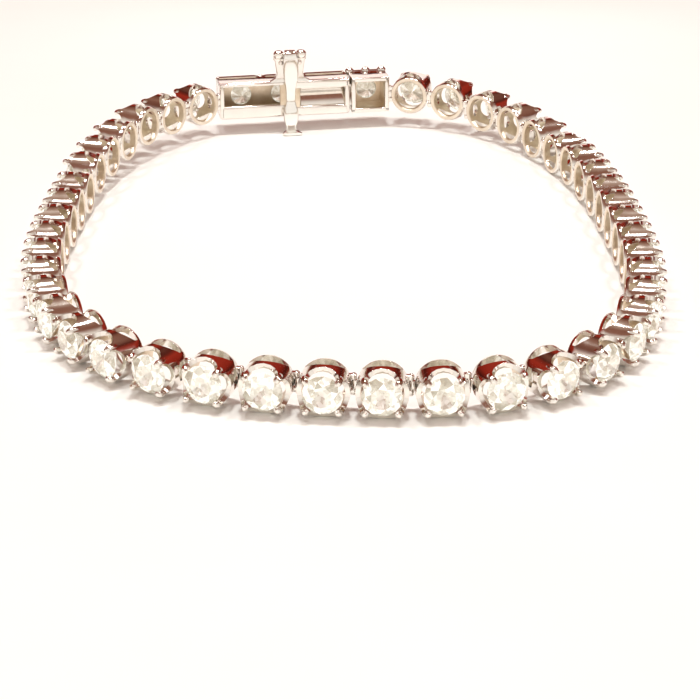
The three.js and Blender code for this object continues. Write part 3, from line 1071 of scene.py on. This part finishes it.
def tongue(shape):
    """A springy strip with a slanted flat and two stiffening folds, drawn as its cross section."""
    start, end = TONGUE_START, SQUARE["start"] + TONGUE_OVERLAP
    rows = ((start, TONGUE_TIP["share"]), (start + TONGUE_TIP["length"], 1.0), (end, 1.0))
    rings = []
    for along, shrink in rows:
        rings.append([(along, out, up * shrink) for out, up in TONGUE_PROFILE])
    shape.loft(rings)


def tongue_piece():
    shape = Shape()
    square_link(shape)
    tongue(shape)
    add_tab(shape, BOX_HALF + pitch, SQUARE["end"] - ARM_OVERLAP)
    return shape


square_piece = tongue_piece().to_object("square_link_and_tongue", clasp)
# The faces inside the square link get the same inside finish: rougher metal and painted shade.
marked = mark_inside(square_piece, SQUARE["start"], SQUARE["end"], CAVITY)
print("marks set inside the square link:", marked)
square_piece.data.materials.append(white_gold)
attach(square_piece, "bracelet")
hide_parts("tongue_link")

# %% [markdown]
# The clasp carries stones too, three on the box and one on the square link, set flush in their seats
# and a little smaller than those of the line. They are copies of the same stone, made by the same tree
# with another size, so that all the facets match.

# %% Stones of the clasp
BOX_STONE_SHARE, BOX_STONE_SUNK = 0.88, 0.12
STONE_SHIFT = PLATE["front"] - STONE["girdle"] * BOX_STONE_SHARE - BOX_STONE_SUNK
square_middle = (SQUARE["start"] + SQUARE["end"]) / 2
clasp_stone_places = [
    clasp @ Matrix.Translation(Vector((along, STONE_SHIFT, 0)) * MM)
    for along in (-pitch, 0, pitch, square_middle)
]
clasp_stones = set_copies("clasp_stones", stone_item, spun(clasp_stone_places), diamond, BOX_STONE_SHARE)
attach(clasp_stones, "bracelet")
bpy.data.objects.remove(stone_item)

# %% [markdown]
# ## Safety latch
# The latch is one cast piece: a knuckle, a strap that swells, narrows to a waist and swells again
# into a thumb pad, a hook that snaps under the box, and a small lip for the nail. A box with a
# subdivision modifier could be pulled into this shape by hand. Here the strap is a loft of soft
# rectangles, whose table gives a height, half a width and the two sides of the strap in each row.

# %% Strap
STRAP_ROWS = [
    (4.64, 0.28, -0.35, -0.48), (4.57, 0.46, -0.30, -0.66), (4.38, 0.57, -0.40, -0.82),
    (3.95, 0.63, -0.42, -0.90), (3.30, 0.68, -0.35, -0.94), (2.60, 0.69, -0.35, -0.95),
    (1.95, 0.63, -0.35, -0.93), (1.35, 0.50, -0.35, -0.84), (0.85, 0.43, -0.33, -0.70),
    (0.15, 0.42, -0.32, -0.60), (-0.40, 0.46, -0.33, -0.68), (-0.80, 0.58, -0.35, -0.86),
    (-1.40, 0.68, -0.35, -0.95), (-2.00, 0.62, -0.35, -0.93), (-2.45, 0.46, -0.38, -0.84),
    (-2.85, 0.50, -0.38, -0.80),
]
STRAP_FULLNESS = 3.2
STRAP_SIDES = 20


def soft_rectangle(half_a, half_b, count, fullness):
    """A superellipse: a rectangle whose sides bulge and whose corners are round."""
    points = []
    for i in range(count):
        turn = 2 * math.pi * (i + 0.5) / count
        a, b = math.cos(turn), math.sin(turn)
        points.append((
            math.copysign(abs(a) ** (2 / fullness), a) * half_a,
            math.copysign(abs(b) ** (2 / fullness), b) * half_b,
        ))
    return points


def strap(shape):
    rings = []
    for up, half, back, front in STRAP_ROWS:
        middle, depth = (back + front) / 2, abs(back - front) / 2
        section = soft_rectangle(half, depth, STRAP_SIDES, STRAP_FULLNESS)
        rings.append([(LATCH_ALONG + a, middle + b, up) for a, b in section])
    shape.loft(rings)


print("length of the strap:", round(STRAP_ROWS[0][0] - STRAP_ROWS[-1][0], 2))

# %% Foot, hook and knuckle of the latch
FOOT_FLOOR = (cad_box[0][2] - clasp.translation.z) / MM
FOOT_THICKNESS, FOOT_FULLNESS = 0.27, 4
FOOT_ROWS = [
    (-0.36, 0.42, 0.0), (-0.48, 0.55, 0.0), (-0.80, 0.70, 0.0),
    (-1.15, 0.873, 0.0), (-1.40, 0.90, 0.02), (-1.60, 0.828, 0.06),
]
HOOK = {"top": -1.80, "bottom": -2.10, "back": -0.5, "reach": 0.15, "half": 0.6, "edge": 0.1}
MIDDLE_KNUCKLE = {"edge": 0.1, "sides": 20}


def foot(shape):
    """A plate under the strap, from rows of place out, half width and how far its lip lifts."""
    rings = []
    for out, half, lift in FOOT_ROWS:
        section = soft_rectangle(half, (FOOT_THICKNESS - lift) / 2, STRAP_SIDES, FOOT_FULLNESS)
        middle = FOOT_FLOOR + (FOOT_THICKNESS + lift) / 2
        rings.append([(LATCH_ALONG + a, out, middle + b) for a, b in section])
    shape.loft(rings)


def hook(shape):
    low = (LATCH_ALONG - HOOK["half"], HOOK["back"], HOOK["bottom"])
    high = (LATCH_ALONG + HOOK["half"], HOOK["reach"], HOOK["top"])
    bar(shape, low, high, HOOK["edge"])


def latch():
    shape = Shape()
    strap(shape)
    foot(shape)
    hook(shape)
    start, end = LATCH_ALONG - BARREL["middle"], LATCH_ALONG + BARREL["middle"]
    barrel(shape, (0, BARREL["out"], BARREL["up"]), BARREL["radius"], start, end, axis=0,
           edge=MIDDLE_KNUCKLE["edge"], count=MIDDLE_KNUCKLE["sides"])
    return shape


latch_piece = latch().to_object("latch_strap", clasp)
print("faces of the latch:", len(latch_piece.data.polygons))
latch_piece.data.materials.append(latch_gold)
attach(latch_piece, "latch")
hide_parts("safety_latch")

# %% [markdown]
# A pin runs through all three knuckles. The latch turns about it, and the pin stays with the box, so
# it is a piece of its own that rides on the bracelet. It is a plain barrel, made as the knuckles are.

# %% Pin through the knuckles
PIN_RADIUS, PIN_EDGE, PIN_SIDES = 0.16, 0.05, 16
pin_half = BARREL["middle"] + BARREL["gap"] + BARREL["outer"]
pin_shape = barrel(Shape(), (0, BARREL["out"], BARREL["up"]), PIN_RADIUS, LATCH_ALONG - pin_half,
                   LATCH_ALONG + pin_half, axis=0, edge=PIN_EDGE, count=PIN_SIDES)
print("length of the pin:", 2 * pin_half)
pin_piece = pin_shape.to_object("latch_pin", clasp)
pin_piece.data.materials.append(latch_gold)
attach(pin_piece, "bracelet")
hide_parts("hinge_pin")

# %% [markdown]
# ## Floor
# The bracelet lies on a plain pale sheet with a little gloss. A single large square is enough, with a
# faint grain in its tint, so that it looks like paper and not like empty space.

# %% Floor
FLOOR_HALF = 2.0
GRAIN_PER_METRE = 60
SHEET_TINTS = [(0.3, (0.93, 0.925, 0.90)), (0.7, (0.95, 0.945, 0.92))]


def floor_material():
    material, kit = new_material("pale_sheet")
    place = kit.node("ShaderNodeTexCoord")["Object"]
    grain = kit.node("ShaderNodeTexNoise", None, {
        "Vector": place, "Scale": GRAIN_PER_METRE, "Detail": 4})["Fac"]
    surface = kit.node("ShaderNodeBsdfPrincipled", None, {
        "Base Color": kit.ramp(grain, SHEET_TINTS), "Roughness": 0.35, "Specular IOR Level": 0.3})
    kit.node("ShaderNodeOutputMaterial", None, {"Surface": surface["BSDF"]})
    return material


def make_floor():
    mesh = bpy.data.meshes.new("floor")
    level = cad_box[0][2]
    corners = [(a * FLOOR_HALF, b * FLOOR_HALF, level) for a, b in ((-1, -1), (1, -1), (1, 1), (-1, 1))]
    mesh.from_pydata(corners, [], [(0, 1, 2, 3)])
    obj = bpy.data.objects.new("floor", mesh)
    bpy.context.scene.collection.objects.link(obj)
    mesh.materials.append(floor_material())


make_floor()
print("the floor is at", cad_box[0][2], "and reaches", FLOOR_HALF, "m each way")

# %% [markdown]
# ## Surroundings
# Polished metal has no look of its own: it shows what stands around it. A picture of a room could be
# wrapped round the scene, but two colour ramps are plainer and easy to tune. Both run from the horizon
# to straight up. The one behind the bracelet is mostly a deep warm red, which the upper faces of the
# cups show to the viewer. The one in front is pale low down and brown higher up, which the wrist side
# of the far links shows. A little noise makes the bands uneven, as in a real room.

# %% Surroundings
BEHIND = [
    (0.00, (0.34, 0.15, 0.10)), (0.04, (0.24, 0.035, 0.018)), (0.14, (0.05, 0.008, 0.005)),
    (0.30, (0.26, 0.020, 0.010)), (0.50, (0.34, 0.03, 0.015)), (0.62, (0.08, 0.014, 0.008)),
    (0.80, (0.24, 0.10, 0.065)), (1.00, (0.42, 0.27, 0.20)),
]
IN_FRONT = [
    (0.0, (1.05, 1.0, 0.93)), (0.3, (1.0, 0.94, 0.87)), (0.5, (0.75, 0.66, 0.59)),
    (0.68, (0.28, 0.13, 0.09)), (0.85, (0.24, 0.10, 0.065)), (1.0, (0.42, 0.27, 0.20)),
]
UNEVENNESS, PATCH_SCALE = 0.16, 3.5
FRONT_ENDS, BACK_STARTS = -0.3, 0.1


def make_world():
    world = bpy.data.worlds.new("studio")
    world.use_nodes = True
    world.node_tree.nodes.clear()
    bpy.context.scene.world = world
    kit = Kit(world.node_tree)
    direction = kit.node("ShaderNodeTexCoord")["Generated"]
    axes = kit.node("ShaderNodeSeparateXYZ", None, {"Vector": direction})
    patches = kit.node("ShaderNodeTexNoise", None, {
        "Vector": direction, "Scale": PATCH_SCALE, "Detail": 2})["Fac"]
    rise = axes["Z"] + UNEVENNESS * (patches - 0.5)
    behind = kit.node("ShaderNodeMapRange", {"interpolation_type": "SMOOTHSTEP"}, {
        "Value": axes["Y"], "From Min": FRONT_ENDS, "From Max": BACK_STARTS})["Result"]
    colour = kit.mix(behind, kit.ramp(rise, IN_FRONT), kit.ramp(rise, BEHIND))
    background = kit.node("ShaderNodeBackground", None, {"Color": colour, "Strength": 1.0})
    kit.node("ShaderNodeOutputWorld", None, {"Surface": background["Background"]})


make_world()
print("bands behind and in front:", len(BEHIND), len(IN_FRONT))

# %% [markdown]
# ## Lamps
# Soft boxes give the white highlights. One overhead and one at each side light the floor evenly and
# keep the shadows short. A wide one above the camera brightens the stones. A small low strip behind the
# clasp adds fine bright lines to the metal that faces it. Sun lamps would be simpler, but they have no
# size, so they make hard shadows and leave no shape in the metal. The camera doesn't see the boxes.

# %% Lamps
# Power is in watts, sizes and places are in metres.
LAMPS = {
    "overhead": {
        "power": 0.95, "width": 0.06, "height": 0.06,
        "place": (0.0, 0.02, 0.44), "colour": (0.97, 1, 0.98)},
    "left": {
        "power": 0.4, "width": 0.05, "height": 0.05,
        "place": (-0.15, 0.04, 0.40), "colour": (1, 1, 0.97)},
    "right": {
        "power": 0.4, "width": 0.05, "height": 0.05,
        "place": (0.15, 0.04, 0.40), "colour": (1, 1, 0.97)},
    "above_camera": {
        "power": 0.2, "width": 0.2, "height": 0.06,
        "place": (0.0, -0.17, 0.36), "colour": (1, 1, 1)},
    "low_strip": {
        "power": 0.0026, "width": 0.056, "height": 0.014,
        "place": (0.002, 0.075, 0.021), "colour": (1, 0.95, 0.9)},
}


def make_lamp(name, power, width, height, place, colour):
    """A soft box that faces the middle of the bracelet."""
    data = bpy.data.lights.new(name, "AREA")
    data.shape = "RECTANGLE"
    data.energy = power
    data.size = width
    data.size_y = height
    data.color = colour
    obj = bpy.data.objects.new(name, data)
    bpy.context.scene.collection.objects.link(obj)
    obj.location = place
    obj.rotation_euler = Vector(place).to_track_quat("Z", "Y").to_euler()
    obj.visible_camera = False


for lamp_name, lamp in LAMPS.items():
    make_lamp(lamp_name, **lamp)
print("lamps:", list(LAMPS))

# %% [markdown]
# ## Camera
# The camera looks down on the loop from the front, a little to one side, and aims short of the middle,
# so that the bracelet fills the upper part of the picture. It stands at about two and a half times the
# depth of the loop, which makes the front links clearly larger than the far ones, and a long lens fills
# the picture from there. Angles are in degrees, and places and the lens in millimetres.

# %% Camera
CAMERA = {"turn": 2.03, "pitch": 23.17, "height": 60.9, "away": 164.0, "aside": 0.72}
LENS, SENSOR = 112.6, 36
OUTLINE_SHIFT = (-0.29, 0.08)


def make_camera():
    data = bpy.data.cameras.new("camera")
    data.lens = LENS
    data.sensor_width = SENSOR
    data.clip_start = MM
    obj = bpy.data.objects.new("camera", data)
    bpy.context.scene.collection.objects.link(obj)
    turn = Matrix.Rotation(math.radians(CAMERA["turn"]), 4, "Z")
    spot = turn @ Vector((CAMERA["aside"], -CAMERA["away"], CAMERA["height"]))
    obj.location = (spot + Vector((*OUTLINE_SHIFT, 0))) * MM
    obj.rotation_euler = Euler((math.radians(90 - CAMERA["pitch"]), 0, math.radians(CAMERA["turn"])))
    bpy.context.scene.camera = obj


make_camera()
scene = bpy.context.scene
scene.view_settings.view_transform = "Standard"
scene.cycles.use_denoising = True
print("camera at", [round(value, 4) for value in scene.camera.location])
